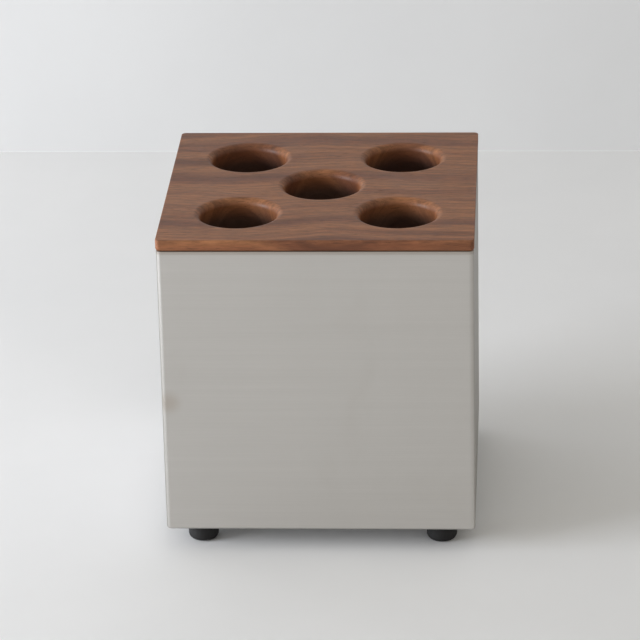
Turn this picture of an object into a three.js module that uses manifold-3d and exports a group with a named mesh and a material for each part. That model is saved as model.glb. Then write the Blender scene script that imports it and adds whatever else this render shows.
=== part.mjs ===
// Umbrella stand: a folded steel box on four rubber feet, a loose walnut lid with five round holes,
// and inside the box a ballast plate and a lift-out drip tray with a rubber cup under each hole.
//
// Units are millimetres. +Z is up, the front faces -Y, left is -X, and the origin is on the floor
// under the middle of the box.

import * as THREE from "three";
import { mergeVertices } from "three/addons/utils/BufferGeometryUtils.js";
import Module from "manifold-3d";

const wasm = await Module();
wasm.setup();

// ---- Driving dimensions ----

const SEAT = 0.1; // daylight left between two pieces that rest on each other

// Lid
const LID_SIDE = 210;
const LID_THICK = 24;
const LID_LIP = 8; // thickness of the lip that lies on the box
const LID_CORNER = 3; // plan radius of the four corners
const LID_TOP_EASE = 0.6; // rounding of the top edge
const LID_UNDER_EASE = 2; // rounding of the lip's lower edge
const LID_SHAKE = 0.8; // gap between the lid's plug and each wall of the box
const HOLE_PITCH = 107; // between neighbouring corner holes
const HOLE_RADIUS = 25.5;
const HOLE_ROUNDOVER = 5;
const HOLE_UNDER_EASE = 1.2;

// Sheet-steel box
const BOX_SIDE = 209.4;
const BOX_HEIGHT = 202.6;
const SHEET = 1.2;
const BOX_CORNER = 3.4; // outer bend radius of the upright corners
const BOX_BEND = 2.2; // outer bend radius along the bottom
const BOTTOM_FLANGE = 12; // inward reach of the bottom flange, from the outer face
const SEAM_GAP = 0.4;
const STRIP_WIDTH = 24;
const STRIP_THICK = 1.2;

// Feet
const FOOT_CLEARANCE = 16; // floor to the underside of the box
const FOOT_INSET = 23.4; // foot's axis to the lid's outer face
const FOOT_RADIUS = 10.3;
const FOOT_EDGE = 4; // rounding of the tread
const FOOT_POCKET_RADIUS = 4.5;
const FOOT_POCKET_DEPTH = 8.5;

// Foot fasteners, M4
const SCREW_RADIUS = 2;
const SCREW_HOLE_RADIUS = 2.3;
const SCREW_HEAD_RADIUS = 3.9;
const SCREW_HEAD_THICK = 2.6;
const SCREW_SLOT_LENGTH = 4.2;
const SCREW_SLOT_WIDTH = 0.9;
const SCREW_SLOT_DEPTH = 1.5;
const SCREW_END_ABOVE_NUT = 1.3;
const CUP_WASHER_RADIUS = 4.2;
const CUP_WASHER_THICK = 1;
const WASHER_RADIUS = 5;
const WASHER_THICK = 0.9;
const NUT_ACROSS_FLATS = 7;
const NUT_THICK = 3.2;
const NUT_BORE_RADIUS = 2.15;

// Floor of the box
const BASE_THICK = 2;
const BASE_SHAKE = 1;
const BALLAST_THICK = 6;
const BALLAST_SIDE = 200;
const BALLAST_HOLE_RADIUS = 7;

// Drip tray
const TRAY_SIDE = 200.4;
const TRAY_HEIGHT = 24;
const TRAY_SHEET = 1;
const TRAY_CORNER = 12;
const TRAY_BEND = 3;
const TRAY_RIM_REACH = 1; // the hem stands this far outside the wall
const TRAY_RIM_HEIGHT = 4;

// Ferrule cups
const CUP_RADIUS = 24;
const CUP_HEIGHT = 14;
const CUP_MOUTH_RADIUS = 20;
const CUP_WELL_RADIUS = 15; // at the foot of the well's wall
const CUP_FLOOR_THICK = 3;

// ---- Levels worked out from them ----

const boxBottom = FOOT_CLEARANCE;
const boxTop = boxBottom + BOX_HEIGHT;
const baseBottom = boxBottom + SHEET + SEAT;
const baseTop = baseBottom + BASE_THICK;
const ballastBottom = baseTop + SEAT;
const ballastTop = ballastBottom + BALLAST_THICK;
const trayBottom = ballastTop + SEAT;
const trayTop = trayBottom + TRAY_HEIGHT;
const cupBottom = trayBottom + TRAY_SHEET + SEAT;
const lipBottom = boxTop + SEAT;
const lidTop = lipBottom + LID_LIP;
const lidBottom = lidTop - LID_THICK;
const footTop = baseBottom - SEAT;
const footAxis = LID_SIDE / 2 - FOOT_INSET;
const innerSide = BOX_SIDE - 2 * SHEET;

// The stack on each foot's screw, from the head up
const cupWasherTop = FOOT_POCKET_DEPTH - SEAT;
const cupWasherBottom = cupWasherTop - CUP_WASHER_THICK;
const headTop = cupWasherBottom - SEAT;
const headBottom = headTop - SCREW_HEAD_THICK;
const washerBottom = baseTop + SEAT;
const washerTop = washerBottom + WASHER_THICK;
const nutBottom = washerTop + SEAT;
const nutTop = nutBottom + NUT_THICK;
const screwEnd = nutTop + SCREW_END_ABOVE_NUT;

// ---- Materials ----

const material = (color, roughness, metalness) =>
  new THREE.MeshStandardMaterial({ color, roughness, metalness });

const walnut = material(0x7a5644, 0.55, 0);
const brushedSteel = material(0xb0aca6, 0.38, 1);
const plainSteel = material(0xa3a3a0, 0.45, 1);
const ballastBlack = material(0x2c2d2e, 0.7, 0.2);
const zincSteel = material(0xb9bcc0, 0.35, 1);
const blackRubber = material(0x161616, 0.85, 0);

// ---- Shape helpers ----

// A closed geometry as a manifold-3d solid.
function solid(closed) {
  const bare = closed.clone();
  bare.deleteAttribute("normal");
  bare.deleteAttribute("uv");
  const merged = mergeVertices(bare, 1e-4);
  return new wasm.Manifold(
    new wasm.Mesh({
      numProp: 3,
      vertProperties: new Float32Array(merged.attributes.position.array),
      triVerts: new Uint32Array(merged.index.array),
    }),
  );
}

// A manifold-3d solid as a geometry.
function geometry(cut) {
  const mesh = cut.getMesh();
  const made = new THREE.BufferGeometry();
  made.setAttribute("position", new THREE.BufferAttribute(mesh.vertProperties, 3));
  made.setIndex(new THREE.BufferAttribute(mesh.triVerts, 1));
  made.computeVertexNormals();
  return made;
}

// The outline of a square with round corners, centred on the origin.
function roundedSquare(side, radius) {
  const far = side / 2;
  const near = far - radius;
  const outline = new THREE.Shape();
  outline.moveTo(-near, -far);
  outline.lineTo(near, -far);
  outline.absarc(near, -near, radius, -Math.PI / 2, 0);
  outline.lineTo(far, near);
  outline.absarc(near, near, radius, 0, Math.PI / 2);
  outline.lineTo(-near, far);
  outline.absarc(-near, near, radius, Math.PI / 2, Math.PI);
  outline.lineTo(-far, -near);
  outline.absarc(-near, -near, radius, Math.PI, 1.5 * Math.PI);
  return outline;
}

// A square block from one level to another. ease rounds its top and bottom edges.
function block(side, corner, from, to, ease = 0, easeSteps = 2) {
  const made = new THREE.ExtrudeGeometry(roundedSquare(side, corner), {
    depth: to - from - 2 * ease,
    bevelEnabled: ease > 0,
    bevelSize: ease,
    bevelThickness: ease,
    bevelOffset: -ease,
    bevelSegments: easeSteps,
    curveSegments: 4,
  });
  return made.translate(0, 0, from + ease);
}

// A solid of revolution about Z. points are [radius, height] pairs, counterclockwise from the
// bottom of the axis to its top, or round a closed section.
function turned(points, segments) {
  const profile = points.map(([radius, height]) => new THREE.Vector2(radius, height));
  return new THREE.LatheGeometry(profile, segments).rotateX(Math.PI / 2);
}

// Points of an arc in a turned profile. Angles are in degrees from the outward direction.
function arc(centreRadius, centreHeight, radius, fromAngle, toAngle, steps) {
  return Array.from({ length: steps + 1 }, (_, i) => {
    const angle = THREE.MathUtils.degToRad(fromAngle + ((toAngle - fromAngle) * i) / steps);
    return [centreRadius + radius * Math.cos(angle), centreHeight + radius * Math.sin(angle)];
  });
}

// A cylinder from one level to another, standing at x, y.
function post(radius, from, to, x = 0, y = 0, segments = 16) {
  const made = new THREE.CylinderGeometry(radius, radius, to - from, segments);
  return made.rotateX(Math.PI / 2).translate(x, y, (from + to) / 2);
}

// A ring from one level to another about the Z axis.
function ring(outer, inner, from, to) {
  const section = [[inner, from], [outer, from], [outer, to], [inner, to], [inner, from]];
  return turned(section, 16);
}

// ---- Places ----

const corners = [
  ["front_left", -1, -1],
  ["front_right", 1, -1],
  ["back_left", -1, 1],
  ["back_right", 1, 1],
];
const holes = [
  ...corners.map(([place, sx, sy]) => [place, (sx * HOLE_PITCH) / 2, (sy * HOLE_PITCH) / 2]),
  ["middle", 0, 0],
];

// ---- Pieces ----

// One sheet folded into a square sleeve with an inward flange along the bottom. Its two ends meet
// in the middle of the back.
function steelSleeve() {
  const spare = 10;
  const outside = block(BOX_SIDE, BOX_CORNER, boxBottom, boxTop + spare, BOX_BEND);
  const inside = block(
    innerSide,
    BOX_CORNER - SHEET,
    boxBottom + SHEET,
    boxTop + 2 * spare,
    BOX_BEND - SHEET,
  );
  const waste = block(2 * BOX_SIDE, 1, boxTop, boxTop + 3 * spare);
  const floor = block(BOX_SIDE - 2 * BOTTOM_FLANGE, 2, boxBottom - spare, boxBottom + spare);
  const seam = new THREE.BoxGeometry(SEAM_GAP, BOX_SIDE, 2 * BOX_HEIGHT);
  seam.translate(0, BOX_SIDE / 2 + BOX_CORNER, (boxBottom + boxTop) / 2);
  return geometry(
    solid(outside)
      .subtract(solid(inside))
      .subtract(solid(waste))
      .subtract(solid(floor))
      .subtract(solid(seam)),
  );
}

// The flat strip behind the sleeve's seam.
function seamStrip() {
  const from = ballastTop + 2;
  const to = lidBottom - 2;
  const strip = new THREE.BoxGeometry(STRIP_WIDTH, STRIP_THICK, to - from);
  return strip.translate(0, innerSide / 2 - SEAT - STRIP_THICK / 2, (from + to) / 2);
}

// A square plate with one hole over each foot.
function footedPlate(side, corner, from, to, holeRadius) {
  let plate = solid(block(side, corner, from, to));
  for (const [, sx, sy] of corners) {
    const hole = post(holeRadius, from - 1, to + 1, sx * footAxis, sy * footAxis);
    plate = plate.subtract(solid(hole));
  }
  return geometry(plate);
}

// A walnut board, rebated all round so that its lower part drops into the box.
function lidBoard() {
  const spare = 6;
  const under = block(LID_SIDE, LID_CORNER, lipBottom, lidTop + spare, LID_UNDER_EASE, 3);
  const over = block(LID_SIDE, LID_CORNER, lipBottom - spare, lidTop, LID_TOP_EASE);
  const lip = solid(under).intersect(solid(over));
  const plug = block(innerSide - 2 * LID_SHAKE, LID_CORNER, lidBottom, lipBottom + 1);
  const cutter = turned(
    [
      [0, lidBottom - 2],
      [HOLE_RADIUS + HOLE_UNDER_EASE, lidBottom - 2],
      [HOLE_RADIUS + HOLE_UNDER_EASE, lidBottom],
      [HOLE_RADIUS, lidBottom + HOLE_UNDER_EASE],
      ...arc(HOLE_RADIUS + HOLE_ROUNDOVER, lidTop - HOLE_ROUNDOVER, HOLE_ROUNDOVER, 180, 90, 4),
      [HOLE_RADIUS + HOLE_ROUNDOVER, lidTop + 2],
      [0, lidTop + 2],
    ],
    32,
  );
  let board = lip.add(solid(plug));
  for (const [, x, y] of holes) {
    board = board.subtract(solid(cutter.clone().translate(x, y, 0)));
  }
  return geometry(board);
}

// A rubber foot with a pocket in its tread for the screw's head.
function foot() {
  return turned(
    [
      [FOOT_POCKET_RADIUS, 0],
      ...arc(FOOT_RADIUS - FOOT_EDGE, FOOT_EDGE, FOOT_EDGE, -90, 0, 3),
      [FOOT_RADIUS, footTop],
      [SCREW_HOLE_RADIUS, footTop],
      [SCREW_HOLE_RADIUS, FOOT_POCKET_DEPTH],
      [FOOT_POCKET_RADIUS, FOOT_POCKET_DEPTH],
      [FOOT_POCKET_RADIUS, 0],
    ],
    20,
  );
}

// A pan-head screw, head down, with a cross recess.
function footScrew() {
  const body = turned(
    [
      [0, headBottom],
      [SCREW_HEAD_RADIUS - 0.9, headBottom],
      [SCREW_HEAD_RADIUS, headBottom + 1.2],
      [SCREW_HEAD_RADIUS, headTop],
      [SCREW_RADIUS, headTop],
      [SCREW_RADIUS, screwEnd - 0.6],
      [SCREW_RADIUS - 0.6, screwEnd],
      [0, screwEnd],
    ],
    14,
  );
  let screw = solid(body);
  for (const turn of [0, Math.PI / 2]) {
    const slot = new THREE.BoxGeometry(SCREW_SLOT_LENGTH, SCREW_SLOT_WIDTH, 2 * SCREW_SLOT_DEPTH);
    screw = screw.subtract(solid(slot.rotateZ(turn).translate(0, 0, headBottom)));
  }
  return geometry(screw);
}

function hexNut() {
  const hexagon = post(NUT_ACROSS_FLATS / Math.sqrt(3), nutBottom, nutTop, 0, 0, 6);
  const bore = post(NUT_BORE_RADIUS, nutBottom - 1, nutTop + 1);
  return geometry(solid(hexagon).subtract(solid(bore)));
}

// A pressed tray with a hemmed rim.
function dripTray() {
  const spare = 10;
  const outside = block(TRAY_SIDE, TRAY_CORNER, trayBottom, trayTop + spare, TRAY_BEND);
  const rim = block(
    TRAY_SIDE + 2 * TRAY_RIM_REACH,
    TRAY_CORNER + TRAY_RIM_REACH,
    trayTop - TRAY_RIM_HEIGHT,
    trayTop + spare,
  );
  const inside = block(
    TRAY_SIDE - 2 * TRAY_SHEET,
    TRAY_CORNER - TRAY_SHEET,
    trayBottom + TRAY_SHEET,
    trayTop + 2 * spare,
    TRAY_BEND - TRAY_SHEET,
  );
  const waste = block(2 * TRAY_SIDE, 1, trayTop, trayTop + 3 * spare);
  return geometry(
    solid(outside).add(solid(rim)).subtract(solid(inside)).subtract(solid(waste)),
  );
}

// A round rubber cup that holds an umbrella's tip under its hole.
function ferruleCup() {
  const top = cupBottom + CUP_HEIGHT;
  const wellFloor = cupBottom + CUP_FLOOR_THICK;
  return turned(
    [
      [0, cupBottom],
      [CUP_RADIUS, cupBottom],
      [CUP_RADIUS - 1.5, top - 1.2],
      [CUP_RADIUS - 2.7, top],
      [CUP_MOUTH_RADIUS, top],
      [CUP_WELL_RADIUS, wellFloor + 1.4],
      [CUP_WELL_RADIUS - 2, wellFloor],
      [0, wellFloor],
    ],
    24,
  );
}

// ---- The object ----

const stand = new THREE.Group();

function add(name, shape, surface, x = 0, y = 0) {
  const mesh = new THREE.Mesh(shape, surface);
  mesh.name = name;
  mesh.position.set(x, y, 0);
  stand.add(mesh);
}

const baseSide = innerSide - 2 * BASE_SHAKE;
const basePlate = footedPlate(baseSide, 3, baseBottom, baseTop, SCREW_HOLE_RADIUS);
const ballast = footedPlate(BALLAST_SIDE, 3, ballastBottom, ballastTop, BALLAST_HOLE_RADIUS);

add("steel_sleeve", steelSleeve(), brushedSteel);
add("seam_strip", seamStrip(), plainSteel);
add("base_plate", basePlate, plainSteel);
add("ballast_plate", ballast, ballastBlack);
add("lid_board", lidBoard(), walnut);
add("drip_tray", dripTray(), plainSteel);

for (const [place, x, y] of holes) add(`ferrule_cup_${place}`, ferruleCup(), blackRubber, x, y);

for (const [place, sx, sy] of corners) {
  const x = sx * footAxis;
  const y = sy * footAxis;
  const cupWasher = ring(CUP_WASHER_RADIUS, SCREW_HOLE_RADIUS, cupWasherBottom, cupWasherTop);
  const washer = ring(WASHER_RADIUS, SCREW_HOLE_RADIUS, washerBottom, washerTop);
  add(`foot_${place}`, foot(), blackRubber, x, y);
  add(`foot_screw_${place}`, footScrew(), zincSteel, x, y);
  add(`foot_cup_washer_${place}`, cupWasher, zincSteel, x, y);
  add(`foot_washer_${place}`, washer, zincSteel, x, y);
  add(`foot_nut_${place}`, hexNut(), zincSteel, x, y);
}

export default stand;
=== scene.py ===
# The umbrella stand's looks: a satin walnut lid with softly rounded holes on a brushed steel box,
# four black rubber feet, and inside the box the drip tray, its rubber cups and the ballast plate.
# Metres, +Z up, the front faces -Y.

import math

import bmesh
import bpy
from mathutils import Matrix, Vector
from mathutils.geometry import tessellate_polygon


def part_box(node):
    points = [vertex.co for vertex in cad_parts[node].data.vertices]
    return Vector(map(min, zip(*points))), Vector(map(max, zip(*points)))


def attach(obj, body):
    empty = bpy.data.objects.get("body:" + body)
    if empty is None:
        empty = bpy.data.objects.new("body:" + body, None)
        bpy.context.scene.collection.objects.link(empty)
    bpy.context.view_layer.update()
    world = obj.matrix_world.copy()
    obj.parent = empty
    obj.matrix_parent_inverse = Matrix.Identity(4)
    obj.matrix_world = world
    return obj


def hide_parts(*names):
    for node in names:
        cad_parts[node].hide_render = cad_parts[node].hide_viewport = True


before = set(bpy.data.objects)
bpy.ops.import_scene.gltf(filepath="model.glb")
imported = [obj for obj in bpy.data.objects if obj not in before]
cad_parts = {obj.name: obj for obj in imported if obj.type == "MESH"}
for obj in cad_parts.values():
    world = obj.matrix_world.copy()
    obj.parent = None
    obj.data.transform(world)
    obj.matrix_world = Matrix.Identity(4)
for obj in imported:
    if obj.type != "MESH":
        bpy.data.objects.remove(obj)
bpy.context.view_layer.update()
scene = bpy.context.scene

MM = 0.001

# ---- The stand's measures, in millimetres ----

LID_CORNER = 3.0
LID_TOP_EASE = 0.6
LID_UNDER_EASE = 2.0
LID_LIP = 8.0
LID_SHAKE = 0.8  # gap between the plug and the box
PLUG_EDGE = 0.5
HOLE_PITCH = 107.0
HOLE_RADIUS = 25.5
HOLE_ROUNDOVER = 5.0
HOLE_UNDER_EASE = 1.2

SHEET = 1.2
BOX_CORNER = 3.4
BOX_BEND = 2.2
BOTTOM_FLANGE = 12.0
SEAM_GAP = 0.4
CUT_EDGE = 0.25  # softened edge of cut sheet

WELD_COLUMN_AT = 6.0
WELD_FIRST_AT = 12.0
WELD_SPACING = 25.0
WELD_DEPTH = 0.22
WELD_SPREAD = 2.4

PLATE_CORNER = 3.0
PLATE_EDGE = 0.3
BALLAST_EDGE = 0.7
BALLAST_HOLE_RADIUS = 7.0

FOOT_RADIUS = 10.3
FOOT_EDGE = 4.0
FOOT_SOFT_EDGE = 0.5
FOOT_POCKET_RADIUS = 4.5
FOOT_POCKET_DEPTH = 8.5

SCREW_RADIUS = 2.0
SCREW_HOLE_RADIUS = 2.3
SCREW_HEAD_RADIUS = 3.9
SCREW_HEAD_THICK = 2.6
SCREW_HEAD_EDGE = 1.4
SCREW_PLAIN_NECK = 1.5
SCREW_POINT = 0.7
SCREW_PITCH = 0.7
SCREW_THREAD_DEPTH = 0.36
NUT_ACROSS_FLATS = 7.0
NUT_BORE_RADIUS = 2.15
NUT_BORE_LEAD = 0.3
NUT_CHAMFER = 0.45
CUP_WASHER_EDGE = 0.15
FLAT_WASHER_EDGE = 0.12

TRAY_SHEET = 1.0
TRAY_CORNER = 12.0
TRAY_BEND = 3.0
TRAY_RIM_REACH = 1.0
TRAY_RIM_HEIGHT = 4.0
TRAY_RIM_ROLL = 0.9
TRAY_CUT_EDGE = 0.5

CUP_MOUTH_RADIUS = 20.0
CUP_WELL_RADIUS = 15.0
CUP_FLOOR_THICK = 3.0
CUP_FLOOR_BEND = 1.4
CUP_LIP_RADIUS = 0.9
CUP_SHOULDER = 1.2
CUP_FOOT_EDGE = 0.5
GRIP_RINGS = 3
GRIP_REACH = 0.45
GRIP_HALF_HEIGHT = 0.7

CORNERS = {
    "front_left": (-1, -1),
    "front_right": (1, -1),
    "back_left": (-1, 1),
    "back_right": (1, 1),
}
HOLES = {place: (sx * HOLE_PITCH / 2, sy * HOLE_PITCH / 2) for place, (sx, sy) in CORNERS.items()}
HOLES["middle"] = (0.0, 0.0)

# ---- Places of the finishes' marks, in metres ----

LID_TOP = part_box("lid_board")[1][2]
CUT_FACE_BELOW = (0.0008, 0.004)  # depth where the top's weathered grain gives way to cut faces
PAINTED_SHADE_BELOW = (0.005, 0.016)  # depth where painted shade darkens the wood, low in the holes and under the board
STEEL_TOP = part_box("steel_sleeve")[1][2]
# painted shade: height of the thin brown band under the lid, standing in for the lid's shadow and
# reflection on the steel
LID_SHADE_BAND = 0.0030
THUMB_MARK = (-0.1000, -0.1047, 0.1100)
THUMB_REACH = (0.011, 0.001)  # outer and inner radius


# ---- The studio and the view, in metres and radians ----

FLOOR_REACH = 6.0
WALL_AT = 0.69
WALL_HEIGHT = 2.6
COVE_RADIUS = 0.0004

SOFTBOX_PLACE = (-2.3, -0.8, 0.6)
SOFTBOX_AIM = (0.0, 0.0, 0.15)
SOFTBOX_SIZE = (1.4, 1.0)
SOFTBOX_POWER = 74.0
SOFTBOX_TINT = (0.945, 0.985, 1.06)
ROOM_TINT = (1.0, 0.962, 0.875)
ROOM_STRENGTH = 0.558

CAMERA_PLACE = (0.1395, -2.3542, 1.1060)
CAMERA_TILT = 0.3936  # below the horizon
CAMERA_TURN = 0.0607
CAMERA_ROLL = -0.0226
CAMERA_LENS = 207.56  # millimetres

# ---- Colours ----

WHITE = (1.0, 1.0, 1.0)

WALNUT_ZONES = [
    (0.30, (0.150, 0.054, 0.025)),
    (0.42, (0.194, 0.073, 0.031)),
    (0.57, (0.290, 0.121, 0.050)),
    (0.72, (0.185, 0.066, 0.027)),
]
WALNUT_LATE_WOOD = (0.085, 0.034, 0.018)
WALNUT_STREAKS = [(0.30, (0.76, 0.74, 0.73)), (0.50, WHITE), (0.70, (1.22, 1.21, 1.20))]
WALNUT_FIBRES = [(0.32, (0.64, 0.62, 0.60)), (0.68, (1.34, 1.33, 1.32))]
WALNUT_CUT_FACE = (0.85, 0.76, 0.75)
# painted shade low in the holes and under the board
WALNUT_PAINTED_SHADE = (0.36, 0.49, 0.82)
WALNUT_PORE = (0.030, 0.013, 0.008)
WALNUT_RUBBED = (0.28, 0.140, 0.080)

BRUSHED_STEEL = ((0.580, 0.559, 0.531), (0.598, 0.577, 0.549))
STEEL_STREAK = (0.50, 0.488, 0.462)
STEEL_CLOUD = (0.54, 0.527, 0.50)
STEEL_SMEAR = (0.52, 0.487, 0.445)
STEEL_RUBBED = (0.72, 0.705, 0.68)
# painted shade and reflection of the lid on the steel
STEEL_PAINTED_LID_SHADE = (0.36, 0.295, 0.25)
STEEL_THUMBED = (0.40, 0.33, 0.265)
STEEL_EDGE_TINT = (0.5, 0.5, 0.5, 1.0)  # greys the steel where it is seen edge on

MILL_STEEL = ((0.48, 0.478, 0.47), (0.56, 0.555, 0.545))
MILL_SPOT = (0.40, 0.39, 0.37)
MILL_RUBBED = (0.70, 0.69, 0.68)

BRIGHT_ZINC = ((0.56, 0.58, 0.61), (0.66, 0.66, 0.63))
ZINC_RUBBED = (0.42, 0.41, 0.40)

BLACK_PAINT = ((0.026, 0.027, 0.029), (0.046, 0.046, 0.047))
SCRAPED_PAINT = (0.22, 0.21, 0.20)

BLACK_RUBBER = ((0.008, 0.008, 0.008), (0.015, 0.014, 0.014))
SCUFFED_RUBBER = (0.045, 0.043, 0.041)

DUST_ON_WOOD = (0.62, 0.60, 0.57)
DUST_ON_STEEL = (0.42, 0.40, 0.37)
DUST_ON_PAINT = (0.34, 0.32, 0.30)
DUST_ON_RUBBER = (0.20, 0.19, 0.18)

FLOOR_PAINT = ((0.800, 0.803, 0.810), (0.835, 0.836, 0.840))
WALL_PAINT = ((0.612, 0.611, 0.609), (0.636, 0.635, 0.632))


# ---- Shader node helpers ----


class Nodes:
    """A node tree with short calls to add nodes and join them."""

    def __init__(self, tree):
        self.tree = tree

    def add(self, kind, inputs=None, **settings):
        node = self.tree.nodes.new(kind)
        for name, value in settings.items():
            setattr(node, name, value)
        for name, value in (inputs or {}).items():
            self.set(node.inputs[name], value)
        return node

    def set(self, socket, value):
        if isinstance(value, bpy.types.NodeSocket):
            self.tree.links.new(value, socket)
        else:
            socket.default_value = value

    def math(self, operation, a, b=0.0, clamp=False):
        return self.add("ShaderNodeMath", {0: a, 1: b}, operation=operation, use_clamp=clamp).outputs[0]

    def times(self, a, b, clamp=False):
        return self.math("MULTIPLY", a, b, clamp)

    def plus(self, a, b):
        return self.math("ADD", a, b)

    def minus(self, a, b):
        return self.math("SUBTRACT", a, b)

    def place(self):
        """The point on the piece, in the object's own metres."""
        return self.add("ShaderNodeTexCoord").outputs["Object"]

    def height_of(self, vector):
        return self.add("ShaderNodeSeparateXYZ", {0: vector}).outputs[2]

    def stretch(self, coordinates, scale, offset=(0.0, 0.0, 0.0)):
        return self.add(
            "ShaderNodeMapping", {"Vector": coordinates, "Scale": scale, "Location": offset}
        ).outputs[0]

    def noise(self, coordinates, scale=1.0, detail=2.0, roughness=0.5, distortion=0.0):
        values = {
            "Vector": coordinates,
            "Scale": scale,
            "Detail": detail,
            "Roughness": roughness,
            "Distortion": distortion,
        }
        return self.add("ShaderNodeTexNoise", values).outputs[0]

    def remap(self, value, low, high, to_low=0.0, to_high=1.0, smooth=False):
        return self.add(
            "ShaderNodeMapRange",
            {"Value": value, "From Min": low, "From Max": high, "To Min": to_low, "To Max": to_high},
            interpolation_type="SMOOTHSTEP" if smooth else "LINEAR",
        ).outputs[0]

    def ramp(self, value, stops):
        node = self.add("ShaderNodeValToRGB", {"Fac": value})
        elements = node.color_ramp.elements
        while len(elements) < len(stops):
            elements.new(0.5)
        for element, (position, colour) in zip(elements, stops):
            element.position = position
            element.color = (*colour, 1.0)
        return node.outputs[0]

    def mix(self, factor, a, b, blend="MIX"):
        node = self.add("ShaderNodeMix", data_type="RGBA", blend_type=blend)
        self.set(node.inputs["Factor"], factor)
        for socket, value in ((node.inputs[6], a), (node.inputs[7], b)):
            self.set(socket, (*value, 1.0) if isinstance(value, tuple) and len(value) == 3 else value)
        return node.outputs[2]

    def bump(self, height, strength, distance):
        values = {"Height": height, "Strength": strength, "Distance": distance}
        return self.add("ShaderNodeBump", values).outputs[0]

    def group(self, tree, **inputs):
        node = self.add("ShaderNodeGroup", node_tree=tree)
        for name, value in inputs.items():
            self.set(node.inputs[name.replace("_", " ")], value)
        return node.outputs


def new_effect(name, inputs, outputs):
    """An empty node group. inputs are (name, socket kind, default) and outputs (name, socket kind)."""
    tree = bpy.data.node_groups.new(name, "ShaderNodeTree")
    for label, kind, default in inputs:
        socket = tree.interface.new_socket(label, in_out="INPUT", socket_type=f"NodeSocket{kind}")
        socket.default_value = default
    for label, kind in outputs:
        tree.interface.new_socket(label, in_out="OUTPUT", socket_type=f"NodeSocket{kind}")
    nodes = Nodes(tree)
    given = nodes.add("NodeGroupInput").outputs
    made = nodes.add("NodeGroupOutput").inputs
    return nodes, given, made


# ---- Effects shared by several finishes ----


def build_edge_wear():
    """A mask that is 1 on sharp outer edges, broken up by noise."""
    nodes, given, made = new_effect(
        "edge_wear",
        [("Width", "Float", 0.0006), ("Breakup", "Float", 400.0), ("Amount", "Float", 1.0)],
        [("Mask", "Float")],
    )
    place = nodes.place()
    rounded = nodes.add("ShaderNodeBevel", {"Radius": given["Width"]}, samples=4).outputs[0]
    true_normal = nodes.add("ShaderNodeNewGeometry").outputs["Normal"]
    agreement = nodes.add(
        "ShaderNodeVectorMath", {0: rounded, 1: true_normal}, operation="DOT_PRODUCT"
    ).outputs["Value"]
    edge = nodes.remap(agreement, 0.995, 0.86)
    patches = nodes.remap(nodes.noise(place, given["Breakup"], 3.0, 0.6), 0.35, 0.65)
    worn = nodes.times(edge, patches)
    nodes.set(made["Mask"], nodes.times(worn, given["Amount"], clamp=True))
    return nodes.tree


def build_settled_dust():
    """A mask of fine dust on surfaces that face up."""
    nodes, given, made = new_effect(
        "settled_dust",
        [("Scale", "Float", 60.0), ("Amount", "Float", 0.3)],
        [("Mask", "Float")],
    )
    place = nodes.place()
    normal = nodes.add("ShaderNodeNewGeometry").outputs["Normal"]
    up = nodes.remap(nodes.height_of(normal), 0.4, 0.95)
    clouds = nodes.remap(nodes.noise(place, given["Scale"], 4.0, 0.6), 0.35, 0.75)
    specks = nodes.remap(nodes.noise(place, 2600.0, 1.0, 0.5), 0.66, 0.78)
    cover = nodes.plus(nodes.times(clouds, 0.55), nodes.times(specks, 0.5))
    lying = nodes.times(cover, up)
    nodes.set(made["Mask"], nodes.times(lying, given["Amount"], clamp=True))
    return nodes.tree


def build_handling_marks():
    """Soft patches left by hands and cloths."""
    nodes, given, made = new_effect(
        "handling_marks",
        [("Scale", "Float", 14.0), ("Spread", "Float", 0.5)],
        [("Mask", "Float"), ("Cloud", "Float")],
    )
    place = nodes.place()
    broad = nodes.noise(nodes.stretch(place, (1.0, 1.0, 0.7)), given["Scale"], 3.0, 0.55, 0.6)
    fine = nodes.noise(nodes.stretch(place, (90.0, 90.0, 140.0)), 1.0, 2.0, 0.6)
    edge = nodes.minus(0.72, nodes.times(given["Spread"], 0.3))
    patch = nodes.times(nodes.minus(broad, edge), 6.0, clamp=True)
    nodes.set(made["Mask"], nodes.times(patch, nodes.remap(fine, 0.3, 0.7, 0.5, 1.0)))
    nodes.set(made["Cloud"], broad)
    return nodes.tree


def build_brushing():
    """Fine scratches along one direction. Stretch is small along the scratches, large across them."""
    nodes, given, made = new_effect(
        "brushing",
        [("Stretch", "Vector", (9.0, 9.0, 1500.0)), ("Coarse Stretch", "Vector", (3.0, 3.0, 260.0))],
        [("Streak", "Float"), ("Band", "Float"), ("Height", "Float")],
    )
    place = nodes.place()
    fine_place = nodes.add("ShaderNodeVectorMath", {0: place, 1: given["Stretch"]}, operation="MULTIPLY")
    band_place = nodes.add(
        "ShaderNodeVectorMath", {0: place, 1: given["Coarse Stretch"]}, operation="MULTIPLY"
    )
    fine = nodes.noise(fine_place.outputs[0], 1.0, 4.0, 0.65)
    band = nodes.noise(band_place.outputs[0], 1.0, 3.0, 0.55)
    nodes.set(made["Streak"], nodes.remap(fine, 0.25, 0.75))
    nodes.set(made["Band"], band)
    both = nodes.plus(nodes.times(fine, 0.92), nodes.times(band, 0.08))
    nodes.set(made["Height"], both)
    return nodes.tree


def build_moulded_skin():
    """The faint orange peel and pits of moulded or sprayed surfaces."""
    nodes, given, made = new_effect(
        "moulded_skin",
        [("Scale", "Float", 900.0), ("Pits", "Float", 0.4)],
        [("Height", "Float"), ("Mottle", "Float")],
    )
    place = nodes.place()
    peel = nodes.noise(place, given["Scale"], 2.0, 0.5)
    pits = nodes.add("ShaderNodeTexVoronoi", {"Vector": place, "Scale": given["Scale"]}).outputs[0]
    dip = nodes.times(nodes.remap(pits, 0.0, 0.22, 1.0, 0.0), given["Pits"])
    nodes.set(made["Height"], nodes.minus(peel, dip))
    nodes.set(made["Mottle"], nodes.noise(place, 70.0, 4.0, 0.6))
    return nodes.tree


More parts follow.
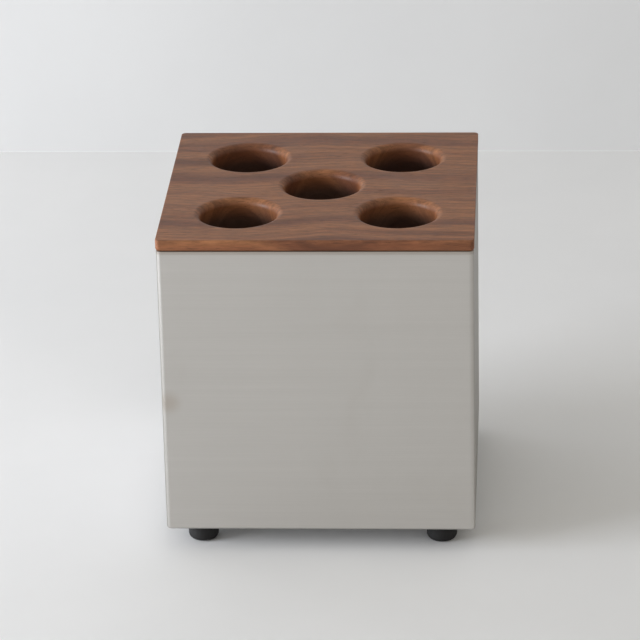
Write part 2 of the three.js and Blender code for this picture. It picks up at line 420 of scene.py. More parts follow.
def build_walnut_figure():
    """Solid walnut figure: growth rings about a pith beside the board, fibres and pores along X."""
    nodes, given, made = new_effect(
        "walnut_figure",
        [
            ("Ring Spacing", "Float", 0.0046),
            ("Pith Across", "Float", 0.34),
            ("Pith Below", "Float", -0.04),
            ("Wander", "Float", 0.017),
        ],
        [
            ("Rings", "Float"),
            ("Zone", "Float"),
            ("Streak", "Float"),
            ("Fibre", "Float"),
            ("Pores", "Float"),
            ("Height", "Float"),
        ],
    )
    place = nodes.place()
    split = nodes.add("ShaderNodeSeparateXYZ", {0: place}).outputs

    # The tree's slow bends carry every ring with them.
    slow = nodes.noise(nodes.stretch(place, (8.0, 5.0, 5.0), (1.7, 0.4, 2.0)), 1.0, 1.5, 0.45)
    quick = nodes.noise(nodes.stretch(place, (26.0, 55.0, 55.0), (4.0, 9.0, 1.0)), 1.0, 2.0, 0.5)
    slow_shift = nodes.times(nodes.minus(slow, 0.5), 4.0)
    quick_shift = nodes.times(nodes.minus(quick, 0.5), 0.5)
    shift = nodes.times(nodes.plus(slow_shift, quick_shift), given["Wander"])
    across = nodes.plus(nodes.minus(split[1], given["Pith Across"]), shift)
    below = nodes.plus(split[2], given["Pith Below"])
    shallow = nodes.plus(below, nodes.times(shift, 0.6))
    radius = nodes.math(
        "SQRT", nodes.plus(nodes.math("POWER", across, 2.0), nodes.math("POWER", shallow, 2.0))
    )
    count = nodes.math("DIVIDE", radius, given["Ring Spacing"])
    ring = nodes.math("FRACT", count)
    year = nodes.math("FLOOR", count)
    late = nodes.remap(ring, 0.35, 0.93, 0.0, 1.0, smooth=True)
    drop = nodes.remap(ring, 0.93, 1.0, 1.0, 0.0, smooth=True)
    strength = nodes.add("ShaderNodeTexWhiteNoise", {"W": year}, noise_dimensions="1D").outputs[0]
    line = nodes.times(nodes.times(late, drop), nodes.remap(strength, 0, 1, 0.25, 1))
    nodes.set(made["Rings"], line)

    # Broad zones of colour follow the rings.
    zone = nodes.noise(
        nodes.add(
            "ShaderNodeCombineXYZ",
            {0: nodes.times(split[0], 2.6), 1: nodes.times(radius, 52.0), 2: 0.0},
        ).outputs[0],
        1.0,
        2.0,
        0.5,
    )
    nodes.set(made["Zone"], zone)

    # Fine streaks run with the rings, and finer fibres along the board.
    along = nodes.add(
        "ShaderNodeCombineXYZ",
        {
            0: nodes.times(split[0], 17.0),
            1: nodes.times(radius, 300.0),
            2: nodes.times(split[2], 25.0),
        },
    ).outputs[0]
    nodes.set(made["Streak"], nodes.noise(along, 1.0, 4.0, 0.62))
    fibre = nodes.noise(nodes.stretch(place, (85.0, 560.0, 560.0)), 1.0, 4.0, 0.72)
    nodes.set(made["Fibre"], fibre)
    pore_noise = nodes.noise(nodes.stretch(place, (130.0, 2300.0, 2300.0)), 1.0, 1.0, 0.5)
    early = nodes.remap(ring, 0.0, 0.75, 1.0, 0.35)
    pores = nodes.times(nodes.remap(pore_noise, 0.62, 0.70), early)
    nodes.set(made["Pores"], pores)
    relief = nodes.minus(nodes.times(fibre, 0.35), pores)
    nodes.set(made["Height"], relief)
    return nodes.tree


edge_wear = build_edge_wear()
settled_dust = build_settled_dust()
handling_marks = build_handling_marks()
brushing = build_brushing()
moulded_skin = build_moulded_skin()
walnut_figure = build_walnut_figure()


# ---- Finishes ----


def new_finish(name, **constants):
    """A material with one Principled shader. Returns it with its nodes and the shader's inputs."""
    material = bpy.data.materials.new(name)
    material.use_nodes = True
    material.node_tree.nodes.clear()
    nodes = Nodes(material.node_tree)
    shader = nodes.add("ShaderNodeBsdfPrincipled")
    surface = nodes.add("ShaderNodeOutputMaterial")
    nodes.set(surface.inputs["Surface"], shader.outputs[0])
    for label, value in constants.items():
        shader.inputs[label.replace("_", " ")].default_value = value
    return material, nodes, shader.inputs


def walnut_finish():
    material, nodes, shader = new_finish("oiled_walnut", IOR=1.5, Specular_IOR_Level=0.33)
    figure = nodes.group(walnut_figure)
    ground = nodes.ramp(figure["Zone"], WALNUT_ZONES)
    ringed = nodes.mix(nodes.times(figure["Rings"], 0.33), ground, WALNUT_LATE_WOOD)
    streaked = nodes.mix(1.0, ringed, nodes.ramp(figure["Streak"], WALNUT_STREAKS), blend="MULTIPLY")
    # The cut faces below the top are sanded smooth, so the fibres fade there.
    depth = nodes.minus(LID_TOP, nodes.height_of(nodes.place()))
    fresh = nodes.remap(depth, CUT_FACE_BELOW[1], CUT_FACE_BELOW[0], 0.35, 1.0, smooth=True)
    fibre = nodes.ramp(figure["Fibre"], WALNUT_FIBRES)
    fibred = nodes.mix(fresh, streaked, fibre, blend="MULTIPLY")
    grained = nodes.mix(1.0, fibred, nodes.mix(fresh, WALNUT_CUT_FACE, WHITE), blend="MULTIPLY")
    # Painted shade: the wood is darkened and greyed low in the holes and under the board, where shade
    # falls.
    shade_depth = nodes.remap(depth, *PAINTED_SHADE_BELOW, smooth=True)
    painted_shade = nodes.mix(shade_depth, grained, WALNUT_PAINTED_SHADE, blend="MULTIPLY")
    pored = nodes.mix(nodes.times(figure["Pores"], 0.6), painted_shade, WALNUT_PORE)
    worn = nodes.group(edge_wear, Width=0.0009, Breakup=260.0, Amount=0.14)["Mask"]
    rubbed = nodes.mix(worn, pored, WALNUT_RUBBED)
    dust = nodes.group(settled_dust, Scale=30.0, Amount=0.03)["Mask"]
    nodes.set(shader["Base Color"], nodes.mix(dust, rubbed, DUST_ON_WOOD))
    marks = nodes.group(handling_marks, Scale=18.0, Spread=0.7)
    sheen = nodes.remap(figure["Fibre"], 0.3, 0.7, 0.42, 0.52)
    dulled = nodes.plus(sheen, nodes.times(figure["Pores"], 0.25))
    handled = nodes.minus(dulled, nodes.times(marks["Mask"], 0.05))
    nodes.set(shader["Roughness"], handled)
    nodes.set(shader["Normal"], nodes.bump(figure["Height"], 0.35, 0.00012))
    return material


def brushed_steel_finish():
    material, nodes, shader = new_finish(
        "brushed_steel", Metallic=1.0, Anisotropic=0.55, Specular_Tint=STEEL_EDGE_TINT
    )
    lines = nodes.group(brushing)
    marks = nodes.group(handling_marks, Scale=13.0, Spread=0.45)
    plain = nodes.mix(nodes.remap(lines["Band"], 0.3, 0.7), *BRUSHED_STEEL)
    streak = nodes.times(nodes.remap(lines["Streak"], 0.3, 0.9), 0.22)
    streaked = nodes.mix(streak, plain, STEEL_STREAK)
    cloud = nodes.times(nodes.remap(marks["Cloud"], 0.35, 0.7), 0.22)
    clouded = nodes.mix(cloud, streaked, STEEL_CLOUD)
    smeared = nodes.mix(nodes.times(marks["Mask"], 0.25), clouded, STEEL_SMEAR)
    worn = nodes.group(edge_wear, Width=0.0008, Breakup=300.0, Amount=0.25)["Mask"]
    rubbed = nodes.mix(worn, smeared, STEEL_RUBBED)
    # Painted shade and reflection: a thin brown line round the top of the box stands in for the lid's
    # shadow and the wood's reflection in the steel.
    place = nodes.place()
    height = nodes.height_of(place)
    lid_shade_mask = nodes.remap(height, STEEL_TOP - LID_SHADE_BAND, STEEL_TOP - 0.4 * LID_SHADE_BAND, 0.0, 0.55, smooth=True)
    lid_shaded = nodes.mix(lid_shade_mask, rubbed, STEEL_PAINTED_LID_SHADE)
    # One old brown thumb mark by the front left edge.
    away = nodes.add("ShaderNodeVectorMath", {0: place, 1: THUMB_MARK}, operation="DISTANCE")
    thumb = nodes.remap(away.outputs["Value"], *THUMB_REACH, 0.0, 0.42, smooth=True)
    nodes.set(shader["Base Color"], nodes.mix(thumb, lid_shaded, STEEL_THUMBED))
    satin = nodes.remap(lines["Streak"], 0.0, 1.0, 0.30, 0.40)
    nodes.set(shader["Roughness"], nodes.plus(satin, nodes.times(marks["Mask"], 0.06)))
    round_the_box = nodes.add("ShaderNodeTangent", direction_type="RADIAL", axis="Z").outputs[0]
    nodes.set(shader["Tangent"], round_the_box)
    nodes.set(shader["Normal"], nodes.bump(lines["Height"], 0.10, 0.00005))
    return material


def plain_steel_finish():
    material, nodes, shader = new_finish("mill_steel", Metallic=1.0)
    lines = nodes.group(brushing, Stretch=(14.0, 700.0, 700.0), Coarse_Stretch=(4.0, 90.0, 90.0))
    marks = nodes.group(handling_marks, Scale=20.0, Spread=0.8)
    rolled = nodes.mix(nodes.remap(lines["Band"], 0.3, 0.7), *MILL_STEEL)
    spotted = nodes.mix(nodes.times(marks["Mask"], 0.35), rolled, MILL_SPOT)
    worn = nodes.group(edge_wear, Width=0.0006, Breakup=350.0, Amount=0.6)["Mask"]
    bright = nodes.mix(worn, spotted, MILL_RUBBED)
    dust = nodes.group(settled_dust, Scale=45.0, Amount=0.18)["Mask"]
    nodes.set(shader["Base Color"], nodes.mix(dust, bright, DUST_ON_STEEL))
    satin = nodes.remap(lines["Streak"], 0.0, 1.0, 0.33, 0.46)
    nodes.set(shader["Roughness"], nodes.plus(satin, nodes.times(dust, 0.3)))
    nodes.set(shader["Normal"], nodes.bump(lines["Height"], 0.15, 0.00006))
    return material


def zinc_finish():
    material, nodes, shader = new_finish("bright_zinc", Metallic=1.0)
    skin = nodes.group(moulded_skin, Scale=1400.0, Pits=0.2)
    bluish = nodes.mix(nodes.remap(skin["Mottle"], 0.35, 0.65), *BRIGHT_ZINC)
    worn = nodes.group(edge_wear, Width=0.0003, Breakup=900.0, Amount=0.7)["Mask"]
    nodes.set(shader["Base Color"], nodes.mix(worn, bluish, ZINC_RUBBED))
    nodes.set(shader["Roughness"], nodes.remap(skin["Mottle"], 0.3, 0.7, 0.26, 0.42))
    nodes.set(shader["Normal"], nodes.bump(skin["Height"], 0.12, 0.00003))
    return material


def ballast_finish():
    material, nodes, shader = new_finish("black_paint_on_plate", IOR=1.5)
    skin = nodes.group(moulded_skin, Scale=420.0, Pits=0.5)
    paint = nodes.mix(nodes.remap(skin["Mottle"], 0.3, 0.7), *BLACK_PAINT)
    worn = nodes.group(edge_wear, Width=0.0012, Breakup=180.0, Amount=0.8)["Mask"]
    scraped = nodes.mix(worn, paint, SCRAPED_PAINT)
    dust = nodes.group(settled_dust, Scale=40.0, Amount=0.25)["Mask"]
    nodes.set(shader["Base Color"], nodes.mix(dust, scraped, DUST_ON_PAINT))
    nodes.set(shader["Roughness"], nodes.remap(skin["Mottle"], 0.3, 0.7, 0.55, 0.72))
    nodes.set(shader["Normal"], nodes.bump(skin["Height"], 0.35, 0.00018))
    return material


def rubber_finish():
    material, nodes, shader = new_finish("black_rubber", IOR=1.52, Specular_IOR_Level=0.3)
    skin = nodes.group(moulded_skin, Scale=1100.0, Pits=0.35)
    black = nodes.mix(nodes.remap(skin["Mottle"], 0.3, 0.7), *BLACK_RUBBER)
    worn = nodes.group(edge_wear, Width=0.0012, Breakup=240.0, Amount=0.5)["Mask"]
    scuffed = nodes.mix(worn, black, SCUFFED_RUBBER)
    dust = nodes.group(settled_dust, Scale=70.0, Amount=0.2)["Mask"]
    nodes.set(shader["Base Color"], nodes.mix(dust, scuffed, DUST_ON_RUBBER))
    nodes.set(shader["Roughness"], nodes.remap(skin["Mottle"], 0.3, 0.7, 0.52, 0.74))
    nodes.set(shader["Normal"], nodes.bump(skin["Height"], 0.30, 0.00008))
    return material


def studio_white_finish():
    """Pale painted floor and wall. Their backs are clear, so the stand is seen from every side."""
    material, nodes, shader = new_finish("studio_white", IOR=1.45)
    place = nodes.place()
    clouds = nodes.noise(place, 4.0, 4.0, 0.6)
    cloudy = nodes.remap(clouds, 0.3, 0.7)
    on_wall = nodes.remap(nodes.height_of(place), 0.0, COVE_RADIUS)
    paint = nodes.mix(on_wall, nodes.mix(cloudy, *FLOOR_PAINT), nodes.mix(cloudy, *WALL_PAINT))
    nodes.set(shader["Base Color"], paint)
    nodes.set(shader["Roughness"], nodes.remap(clouds, 0.3, 0.7, 0.55, 0.7))
    trowel = nodes.noise(place, 110.0, 5.0, 0.6)
    nodes.set(shader["Normal"], nodes.bump(trowel, 0.10, 0.0006))
    surface = next(node for node in nodes.tree.nodes if node.type == "OUTPUT_MATERIAL")
    clear = nodes.add("ShaderNodeBsdfTransparent").outputs[0]
    behind = nodes.add("ShaderNodeNewGeometry").outputs["Backfacing"]
    front = surface.inputs["Surface"].links[0].from_socket
    one_sided = nodes.add("ShaderNodeMixShader", {0: behind, 1: front, 2: clear}).outputs[0]
    nodes.set(surface.inputs["Surface"], one_sided)
    return material


walnut = walnut_finish()
brushed_steel = brushed_steel_finish()
plain_steel = plain_steel_finish()
zinc_steel = zinc_finish()
ballast_black = ballast_finish()
black_rubber = rubber_finish()
studio_white = studio_white_finish()


# ---- Mesh helpers; lengths in millimetres until a piece is placed ----


def arc(centre, radius, from_angle, to_angle, steps):
    """Points of a plane arc, angles in degrees."""
    points = []
    for i in range(steps + 1):
        angle = math.radians(from_angle + (to_angle - from_angle) * i / steps)
        points.append((centre[0] + radius * math.cos(angle), centre[1] + radius * math.sin(angle)))
    return points


def square_outline(side, corner, steps=8):
    """A square with round corners, counterclockwise from the middle of the back."""
    near = side / 2 - corner
    points = [(0.0, side / 2)]
    for turn in range(4):
        angle = 90 + 90 * turn
        cx, cy = ((-near, near), (-near, -near), (near, -near), (near, near))[turn]
        points += arc((cx, cy), corner, angle, angle + 90, steps)
    return points


def skin(bm, rows, wrap_rows=False, wrap_columns=True):
    """Quads over rows of points. Returns the rows as vertices."""
    grid = [[bm.verts.new(point) for point in row] for row in rows]
    width = len(rows[0])
    for i in range(len(rows) if wrap_rows else len(rows) - 1):
        low, high = grid[i], grid[(i + 1) % len(grid)]
        for j in range(width if wrap_columns else width - 1):
            k = (j + 1) % width
            bm.faces.new((low[j], low[k], high[k], high[j]))
    return grid


def fill(bm, outline, holes=()):
    """Triangles over a flat outline of vertices, round any holes."""
    loops = [list(outline), *[list(hole) for hole in holes]]
    vertices = [vertex for loop in loops for vertex in loop]
    for triangle in tessellate_polygon([[vertex.co for vertex in loop] for loop in loops]):
        corners = [vertices[i] for i in triangle]
        if len(set(corners)) == 3:
            bm.faces.new(corners)


def level(outline, z):
    return [(x, y, z) for x, y in outline]


def circle(radius, z, steps, x=0.0, y=0.0):
    return [
        (x + radius * math.cos(math.tau * i / steps), y + radius * math.sin(math.tau * i / steps), z)
        for i in range(steps)
    ]


def turned(bm, profile, steps, closed=False, x=0.0, y=0.0):
    """A solid of revolution about an upright axis. profile is (radius, height) pairs."""
    rows = [circle(radius, z, steps, x, y) for radius, z in profile if radius > 0]
    grid = skin(bm, rows, wrap_rows=closed)
    if not closed:
        fill(bm, grid[0])
        fill(bm, grid[-1])


def stepped_square(bm, stages, corner_steps=8):
    """Rings of a square from (side, corner, height) stages. Returns the rows as vertices."""
    return skin(bm, [level(square_outline(side, corner, corner_steps), z) for side, corner, z in stages])


def eased(side, corner, z, ease, from_angle, to_angle, steps=5):
    """Stages of a rounded edge. At angle 0 the side is full, at 90 the edge has turned up."""
    stages = []
    for run, rise in arc((0.0, 0.0), ease, from_angle, to_angle, steps):
        shrink = ease - run
        stages.append((side - 2 * shrink, max(corner - shrink, 0.15), z + rise))
    return stages


def finished_mesh(name, bm):
    bmesh.ops.remove_doubles(bm, verts=bm.verts, dist=1e-5)
    bmesh.ops.recalc_face_normals(bm, faces=bm.faces)
    bmesh.ops.scale(bm, vec=(MM, MM, MM), verts=bm.verts)
    mesh = bpy.data.meshes.new(name)
    bm.to_mesh(mesh)
    bm.free()
    return mesh


def place_piece(name, bm, finish, body, node, sharp_angle=35.0):
    """Puts a finished mesh in the scene in place of a CAD node."""
    mesh = finished_mesh(name, bm)
    mesh.materials.append(finish)
    for polygon in mesh.polygons:
        polygon.use_smooth = True
    mesh.set_sharp_from_angle(angle=math.radians(sharp_angle))
    piece = bpy.data.objects.new(name, mesh)
    scene.collection.objects.link(piece)
    weighting = piece.modifiers.new("even_flats", "WEIGHTED_NORMAL")
    weighting.keep_sharp = True
    weighting.weight = 100
    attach(piece, body)
    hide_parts(node)
    return piece


def node_levels(node):
    """Lowest and highest level of a CAD node, in millimetres."""
    low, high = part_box(node)
    return low[2] / MM, high[2] / MM


def node_middle(node):
    """Plan centre of a CAD node, in millimetres."""
    low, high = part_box(node)
    return (low[0] + high[0]) / 2 / MM, (low[1] + high[1]) / 2 / MM


def node_side(node):
    low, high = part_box(node)
    return (high[0] - low[0]) / MM


# ---- Pieces ----


def build_lid():
    """The walnut board: eased lip, rebated plug, and five holes with a soft round-over."""
    bottom, top = node_levels("lid_board")
    side = node_side("lid_board")
    lip_bottom = top - LID_LIP
    plug_side = node_side("steel_sleeve") - 2 * SHEET - 2 * LID_SHAKE
    bm = bmesh.new()
    under = eased(side, LID_CORNER, lip_bottom + LID_UNDER_EASE, LID_UNDER_EASE, -90, 0, 6)
    over = eased(side, LID_CORNER, top - LID_TOP_EASE, LID_TOP_EASE, 0, 90, 4)
    stages = [
        (plug_side - 2 * PLUG_EDGE, LID_CORNER - PLUG_EDGE, bottom),
        (plug_side, LID_CORNER, bottom + PLUG_EDGE),
        (plug_side, LID_CORNER, lip_bottom),
        *under,
        *over,
    ]
    rows = stepped_square(bm, stages)
    top_rings, bottom_rings = [], []
    for x, y in HOLES.values():
        profile = [
            (HOLE_RADIUS + HOLE_UNDER_EASE, bottom),
            (HOLE_RADIUS + 0.35 * HOLE_UNDER_EASE, bottom + 0.35 * HOLE_UNDER_EASE),
            (HOLE_RADIUS, bottom + HOLE_UNDER_EASE),
            *arc((HOLE_RADIUS + HOLE_ROUNDOVER, top - HOLE_ROUNDOVER), HOLE_ROUNDOVER, 180, 90, 12),
        ]
        grid = skin(bm, [circle(radius, z, 96, x, y) for radius, z in profile])
        bottom_rings.append(grid[0])
        top_rings.append(grid[-1])
    fill(bm, rows[-1], top_rings)
    fill(bm, rows[0], bottom_rings)
    return place_piece("walnut_lid", bm, walnut, "lid", "lid_board")


def build_sleeve():
    """The folded steel sleeve, open at the top, with its bottom flange and the seam at the back."""
    bottom, top = node_levels("steel_sleeve")
    side = node_side("steel_sleeve")
    inner = side - 2 * SHEET
    inner_corner = BOX_CORNER - SHEET
    inner_bend = BOX_BEND - SHEET
    mouth = side - 2 * BOTTOM_FLANGE
    stages = [
        (mouth, inner_corner, bottom + CUT_EDGE),
        (mouth + 2 * CUT_EDGE, inner_corner, bottom),
        *eased(side, BOX_CORNER, bottom + BOX_BEND, BOX_BEND, -90, 0, 6),
        (side, BOX_CORNER, top - CUT_EDGE),
        (side - 2 * CUT_EDGE, BOX_CORNER - CUT_EDGE, top),
        (inner + 2 * CUT_EDGE, inner_corner + CUT_EDGE, top),
        (inner, inner_corner, top - CUT_EDGE),
        *reversed(eased(inner, inner_corner, bottom + SHEET + inner_bend, inner_bend, -90, 0, 4)),
        (mouth + 2 * CUT_EDGE, inner_corner, bottom + SHEET),
        (mouth, inner_corner, bottom + SHEET - CUT_EDGE),
    ]
    rows = []
    for stage_side, corner, z in stages:
        outline = square_outline(stage_side, corner, 10)[1:]
        back = stage_side / 2
        rows.append(level([(-SEAM_GAP / 2, back), *outline, (SEAM_GAP / 2, back)], z))
    bm = bmesh.new()
    grid = skin(bm, rows, wrap_rows=True, wrap_columns=False)
    fill(bm, [row[0] for row in grid])
    fill(bm, [row[-1] for row in grid])
    return place_piece("folded_steel_sleeve", bm, brushed_steel, "box", "steel_sleeve")


def build_seam_strip():
    """The strip behind the seam, with two columns of spot-weld dimples."""
    low, high = (Vector(corner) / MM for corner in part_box("seam_strip"))
    bm = bmesh.new()
    columns, levels = 24, 120
    width, height = high.x - low.x, high.z - low.z
    rows = []
    for j in range(levels + 1):
        z = low.z + height * j / levels
        row = []
        for i in range(columns + 1):
            x = low.x + width * i / columns
            weld_x = abs(abs(x) - WELD_COLUMN_AT)
            rise = z - low.z - WELD_FIRST_AT + WELD_SPACING / 2
            weld_z = abs(rise % WELD_SPACING - WELD_SPACING / 2)
            dip = WELD_DEPTH * math.exp(-(weld_x**2 + weld_z**2) / WELD_SPREAD)
            row.append((x, low.y + dip, z))
        rows.append(row)
    grid = skin(bm, rows, wrap_columns=False)
    right_side = [row[-1] for row in grid[1:-1]]
    left_side = [row[0] for row in grid[-2:0:-1]]
    rim = [*grid[0], *right_side, *reversed(grid[-1]), *left_side]
    back = [bm.verts.new((vertex.co.x, high.y, vertex.co.z)) for vertex in rim]
    for i in range(len(rim)):
        k = (i + 1) % len(rim)
        bm.faces.new((rim[i], rim[k], back[k], back[i]))
    fill(bm, back)
    return place_piece("seam_backing_strip", bm, plain_steel, "box", "seam_strip")


def build_plate(name, node, edge, hole_radius, finish):
    """A square plate with softened edges and a hole over each foot."""
    bottom, top = node_levels(node)
    side = node_side(node)
    bm = bmesh.new()
    rows = stepped_square(
        bm,
        [
            *eased(side, PLATE_CORNER, bottom + edge, edge, -90, 0, 3),
            *eased(side, PLATE_CORNER, top - edge, edge, 0, 90, 3),
        ],
    )
    low_rings, high_rings = [], []
    for place in CORNERS:
        x, y = node_middle(f"foot_{place}")
        small = edge / 2
        profile = [
            (hole_radius + small, bottom),
            (hole_radius, bottom + small),
            (hole_radius, top - small),
            (hole_radius + small, top),
        ]
        grid = skin(bm, [circle(radius, z, 48, x, y) for radius, z in profile])
        low_rings.append(grid[0])
        high_rings.append(grid[-1])
    fill(bm, rows[0], low_rings)
    fill(bm, rows[-1], high_rings)
    return place_piece(name, bm, finish, "box", node)


def build_tray():
    """The pressed drip tray with a rolled rim."""
    bottom, top = node_levels("drip_tray")
    rim_side = node_side("drip_tray")
    side = rim_side - 2 * TRAY_RIM_REACH
    inner = side - 2 * TRAY_SHEET
    inner_corner = TRAY_CORNER - TRAY_SHEET
    inner_bend = TRAY_BEND - TRAY_SHEET
    rim_corner = TRAY_CORNER + TRAY_RIM_REACH
    rim_low = top - TRAY_RIM_HEIGHT
    stages = [
        *eased(side, TRAY_CORNER, bottom + TRAY_BEND, TRAY_BEND, -90, 0, 6),
        (side, TRAY_CORNER, rim_low),
        *eased(rim_side, rim_corner, rim_low + TRAY_CUT_EDGE, TRAY_CUT_EDGE, -90, 0, 3),
        *eased(rim_side, rim_corner, top - TRAY_RIM_ROLL, TRAY_RIM_ROLL, 0, 90, 5),
        (inner + 2 * TRAY_CUT_EDGE, inner_corner + TRAY_CUT_EDGE, top),
        (inner, inner_corner, top - TRAY_CUT_EDGE),
        *reversed(eased(inner, inner_corner, bottom + TRAY_BEND, inner_bend, -90, 0, 6)),
    ]
    bm = bmesh.new()
    rows = stepped_square(bm, stages, 12)
    fill(bm, rows[0])
    fill(bm, rows[-1])
    return place_piece("pressed_drip_tray", bm, plain_steel, "tray", "drip_tray")


def build_cup(place):
    """A moulded rubber cup with three grip rings in its well."""
    node = f"ferrule_cup_{place}"
    bottom, top = node_levels(node)
    x, y = node_middle(node)
    outer = node_side(node) / 2
    floor = bottom + CUP_FLOOR_THICK
    lip = top - CUP_LIP_RADIUS
    profile = [
        (outer - CUP_FOOT_EDGE, bottom),
        (outer, bottom + CUP_FOOT_EDGE),
        (outer - 1.5, top - 1.9),
        *arc((outer - 2.5, top - CUP_SHOULDER), CUP_SHOULDER, 20, 90, 5)[1:],
        *arc((CUP_MOUTH_RADIUS + 1.0, lip), CUP_LIP_RADIUS, 90, 165, 5),
    ]
    for ring in range(GRIP_RINGS):
        share = (ring + 1) / (GRIP_RINGS + 1)
        radius = CUP_MOUTH_RADIUS + (CUP_WELL_RADIUS - CUP_MOUTH_RADIUS) * share
        z = lip + (floor + CUP_FLOOR_BEND - lip) * share
        profile.append((radius + 0.05, z + GRIP_HALF_HEIGHT))
        profile.append((radius + GRIP_REACH, z))
        profile.append((radius + 0.05, z - GRIP_HALF_HEIGHT))
    profile += [
        (CUP_WELL_RADIUS, floor + CUP_FLOOR_BEND),
        (CUP_WELL_RADIUS - 0.7, floor + 0.5),
        (CUP_WELL_RADIUS - 2.0, floor),
    ]
    bm = bmesh.new()
    turned(bm, profile, 72, x=x, y=y)
    return place_piece(f"rubber_cup_{place}", bm, black_rubber, "tray", node)


def build_foot(place):
    """A rubber foot with a domed tread edge and the screw's pocket."""
    node = f"foot_{place}"
    bottom, top = node_levels(node)
    x, y = node_middle(node)
    soft = FOOT_SOFT_EDGE
    profile = [
        (FOOT_POCKET_RADIUS + soft, bottom),
        *arc((FOOT_RADIUS - FOOT_EDGE, bottom + FOOT_EDGE), FOOT_EDGE, -90, 0, 10),
        (FOOT_RADIUS, top - soft),
        (FOOT_RADIUS - 0.3 * soft, top - 0.3 * soft),
        (FOOT_RADIUS - soft, top),
        (SCREW_HOLE_RADIUS, top),
        (SCREW_HOLE_RADIUS, bottom + FOOT_POCKET_DEPTH),
        (FOOT_POCKET_RADIUS, bottom + FOOT_POCKET_DEPTH),
        (FOOT_POCKET_RADIUS, bottom + soft),
        (FOOT_POCKET_RADIUS + 0.3 * soft, bottom + 0.3 * soft),
    ]
    bm = bmesh.new()
    turned(bm, profile, 64, closed=True, x=x, y=y)
    return place_piece(f"rubber_foot_{place}", bm, black_rubber, "box", node)


def build_screw(place):
    """A pan-head screw, head down, with a cross recess and a rolled thread."""
    node = f"foot_screw_{place}"
    bottom, top = node_levels(node)
    x, y = node_middle(node)
    head_top = bottom + SCREW_HEAD_THICK
    thread_from = head_top + SCREW_PLAIN_NECK
    thread_to = top - SCREW_POINT
    steps = 24
    head_centre = (SCREW_HEAD_RADIUS - SCREW_HEAD_EDGE, bottom + SCREW_HEAD_EDGE)
    below_thread = [
        *arc(head_centre, SCREW_HEAD_EDGE, -90, 0, 6),
        (SCREW_HEAD_RADIUS, head_top),
        (SCREW_RADIUS, head_top),
        (SCREW_RADIUS, thread_from),
    ]
    rows = [circle(radius, z, steps) for radius, z in below_thread]
    rows_per_turn = 6
    count = int((thread_to - thread_from) / SCREW_PITCH * rows_per_turn)
    for i in range(count + 1):
        z = thread_from + (thread_to - thread_from) * i / count
        row = []
        for j in range(steps):
            phase = (z / SCREW_PITCH - j / steps) % 1.0
            depth = SCREW_THREAD_DEPTH * (1 - abs(2 * phase - 1))
            angle = math.tau * j / steps
            radius = SCREW_RADIUS - depth
            row.append((radius * math.cos(angle), radius * math.sin(angle), z))
        rows.append(row)
    rows.append(circle(SCREW_RADIUS - SCREW_THREAD_DEPTH, thread_to + 0.1, steps))
    rows.append(circle(SCREW_RADIUS - SCREW_POINT, top, steps))
    bm = bmesh.new()
    grid = skin(bm, [[(px + x, py + y, pz) for px, py, pz in row] for row in rows])
    fill(bm, grid[0])
    fill(bm, grid[-1])
    screw = place_piece(f"foot_fixing_screw_{place}", bm, zinc_steel, "box", node)
    cut_cross_recess(screw, x, y, bottom)
    return screw


def cut_cross_recess(screw, x, y, bottom):
    """Sinks a tapered cross into the screw's head."""
    length, width, depth = 4.2, 0.9, 1.5
    clearance = 0.5
    mouth_share, floor_share = 1.08, 0.72
    bm = bmesh.new()
    for across, along in ((length, width), (width, length)):
        rows = []
        for z, share in ((bottom - clearance, mouth_share), (bottom + depth, floor_share)):
            half_x, half_y = across * share / 2, along * share / 2
            quarter_turns = ((-1, -1), (1, -1), (1, 1), (-1, 1))
            rows.append([(x + sx * half_x, y + sy * half_y, z) for sx, sy in quarter_turns])
        grid = skin(bm, rows)
        fill(bm, grid[0])
        fill(bm, grid[-1])
    cutter = bpy.data.objects.new("cross_cutter", finished_mesh("cross_cutter", bm))
    scene.collection.objects.link(cutter)
    cut = screw.modifiers.new("cross_recess", "BOOLEAN")
    cut.operation = "DIFFERENCE"
    cut.solver = "EXACT"
    cut.use_self = True
    cut.object = cutter
    screw.modifiers.move(1, 0)
    shaped = bpy.data.meshes.new_from_object(screw.evaluated_get(bpy.context.evaluated_depsgraph_get()))
    screw.modifiers.clear()
    screw.data = shaped
    bpy.data.objects.remove(cutter)


def build_washer(name, node, edge):
    """A stamped washer with softened edges."""
    bottom, top = node_levels(node)
    x, y = node_middle(node)
    outer = node_side(node) / 2
    bore = SCREW_HOLE_RADIUS
    profile = [
        (bore + edge, bottom),
        (outer - edge, bottom),
        (outer, bottom + edge),
        (outer, top - edge),
        (outer - edge, top),
        (bore + edge, top),
        (bore, top - edge),
        (bore, bottom + edge),
    ]
    bm = bmesh.new()
    turned(bm, profile, 48, closed=True, x=x, y=y)
    return place_piece(name, bm, zinc_steel, "box", node)


def build_nut(place):
    """A hexagon nut with its corners turned off."""
    node = f"foot_nut_{place}"
    bottom, top = node_levels(node)
    x, y = node_middle(node)
    flat = NUT_ACROSS_FLATS / 2
    steps = 72
    turned_off = 1.02 * flat
    chamfer_slope = 1.9
    angles = [math.tau * i / steps for i in range(steps)]

    def ring(radii, z):
        return [(x + r * math.sin(angle), y + r * math.cos(angle), z) for r, angle in zip(radii, angles)]

    hexagon = [flat / math.cos((angle % (math.pi / 3)) - math.pi / 6) for angle in angles]
    rows = []
    half = NUT_CHAMFER / 2
    for z in (bottom, bottom + half, bottom + NUT_CHAMFER, top - NUT_CHAMFER, top - half, top):
        reach = turned_off + chamfer_slope * min(z - bottom, top - z)
        rows.append(ring([min(radius, reach) for radius in hexagon], z))
    wide = NUT_BORE_RADIUS + NUT_BORE_LEAD
    rows.append(ring([wide] * steps, top))
    rows.append(ring([NUT_BORE_RADIUS] * steps, top - NUT_BORE_LEAD))
    rows.append(ring([NUT_BORE_RADIUS] * steps, bottom + NUT_BORE_LEAD))
    rows.append(ring([wide] * steps, bottom))
    bm = bmesh.new()
    skin(bm, rows, wrap_rows=True)
    return place_piece(f"foot_lock_nut_{place}", bm, zinc_steel, "box", node, 25.0)


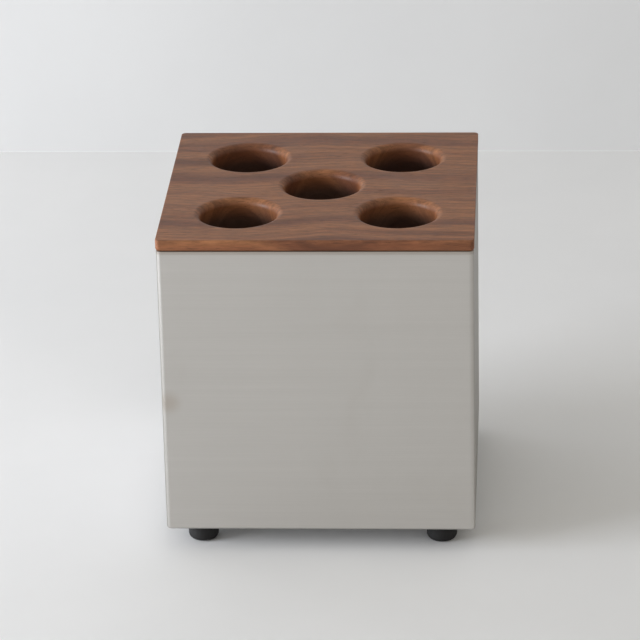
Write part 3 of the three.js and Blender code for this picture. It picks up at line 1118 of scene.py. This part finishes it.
build_lid()
build_sleeve()
build_seam_strip()
build_plate("floor_plate", "base_plate", PLATE_EDGE, SCREW_HOLE_RADIUS, plain_steel)
build_plate(
    "ballast_slab", "ballast_plate", BALLAST_EDGE, BALLAST_HOLE_RADIUS, ballast_black
)
build_tray()
for hole in HOLES:
    build_cup(hole)
for corner in CORNERS:
    build_foot(corner)
    build_screw(corner)
    build_nut(corner)
    build_washer(f"pocket_washer_{corner}", f"foot_cup_washer_{corner}", CUP_WASHER_EDGE)
    build_washer(f"flat_washer_{corner}", f"foot_washer_{corner}", FLAT_WASHER_EDGE)


# ---- Studio ----

def build_studio():
    """A pale floor that turns up into a wall behind the stand."""
    profile = [(-FLOOR_REACH, 0.0)]
    profile += arc((WALL_AT - COVE_RADIUS, COVE_RADIUS), COVE_RADIUS, -90, 0, 8)
    profile.append((WALL_AT, WALL_HEIGHT))
    bm = bmesh.new()
    rows = [[(x, y, z) for x in (-FLOOR_REACH, FLOOR_REACH)] for y, z in profile]
    skin(bm, rows, wrap_columns=False)
    mesh = bpy.data.meshes.new("studio")
    bm.to_mesh(mesh)
    bm.free()
    mesh.materials.append(studio_white)
    studio = bpy.data.objects.new("studio", mesh)
    scene.collection.objects.link(studio)


def add_softbox():
    """The broad, low window light at the left."""
    light = bpy.data.lights.new("window", "AREA")
    light.shape = "RECTANGLE"
    light.size, light.size_y = SOFTBOX_SIZE
    light.energy = SOFTBOX_POWER
    light.color = SOFTBOX_TINT
    softbox = bpy.data.objects.new("window", light)
    softbox.location = SOFTBOX_PLACE
    softbox.rotation_mode = "QUATERNION"
    aim = Vector(SOFTBOX_AIM) - Vector(SOFTBOX_PLACE)
    softbox.rotation_quaternion = aim.to_track_quat("-Z", "Y")
    softbox.visible_camera = False
    scene.collection.objects.link(softbox)


def set_room_light():
    """Even light from the room's walls and ceiling."""
    world = bpy.data.worlds.new("room")
    world.use_nodes = True
    background = world.node_tree.nodes["Background"]
    background.inputs["Color"].default_value = (*ROOM_TINT, 1.0)
    background.inputs["Strength"].default_value = ROOM_STRENGTH
    scene.world = world


def set_camera():
    camera_data = bpy.data.cameras.new("camera")
    camera_data.sensor_width = 36.0
    camera_data.lens = CAMERA_LENS
    camera_data.clip_end = 50.0
    camera = bpy.data.objects.new("camera", camera_data)
    camera.matrix_world = (
        Matrix.Translation(CAMERA_PLACE)
        @ Matrix.Rotation(CAMERA_TURN, 4, "Z")
        @ Matrix.Rotation(math.pi / 2 - CAMERA_TILT, 4, "X")
        @ Matrix.Rotation(CAMERA_ROLL, 4, "Z")
    )
    scene.collection.objects.link(camera)
    scene.camera = camera


build_studio()
add_softbox()
set_room_light()
set_camera()
scene.view_settings.view_transform = "Standard"
